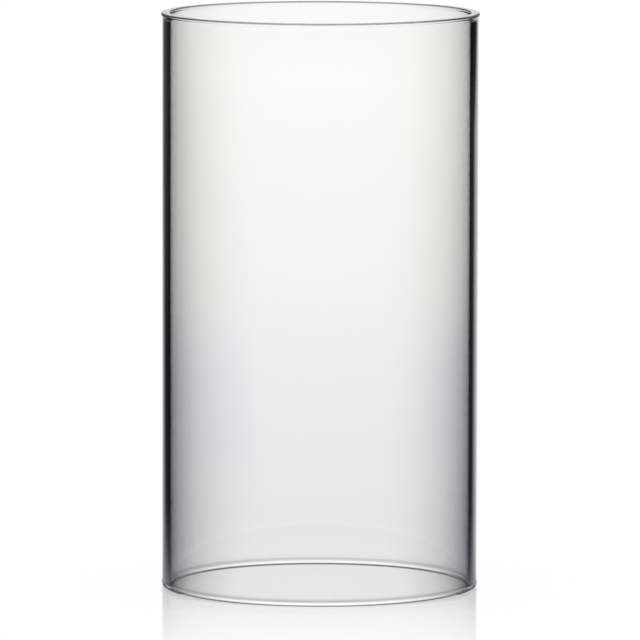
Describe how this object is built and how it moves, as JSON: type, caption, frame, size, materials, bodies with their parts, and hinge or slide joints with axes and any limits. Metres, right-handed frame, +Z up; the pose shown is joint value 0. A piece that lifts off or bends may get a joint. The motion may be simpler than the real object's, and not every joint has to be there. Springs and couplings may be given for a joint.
{
  "type": "glass cylinder",
  "caption": "Straight clear-glass cylinder, open at both ends, with rounded fire-polished rims, to stand round flowers, a candle or a vase liner.",
  "frame": {"origin": "on the cylinder's axis, in the plane of the foot's flat land, which is the surface it stands on", "axes": "+Z up along the cylinder's axis, +X and +Y any two directions square to it"},
  "size_m": [0.1102, 0.1102, 0.2],
  "materials": {
    "clear_glass": "clear, smooth drawn glass with fire-polished rims"
  },
  "bodies": {
    "root": {"glass_cylinder": "clear_glass"}
  },
  "joints": []
}
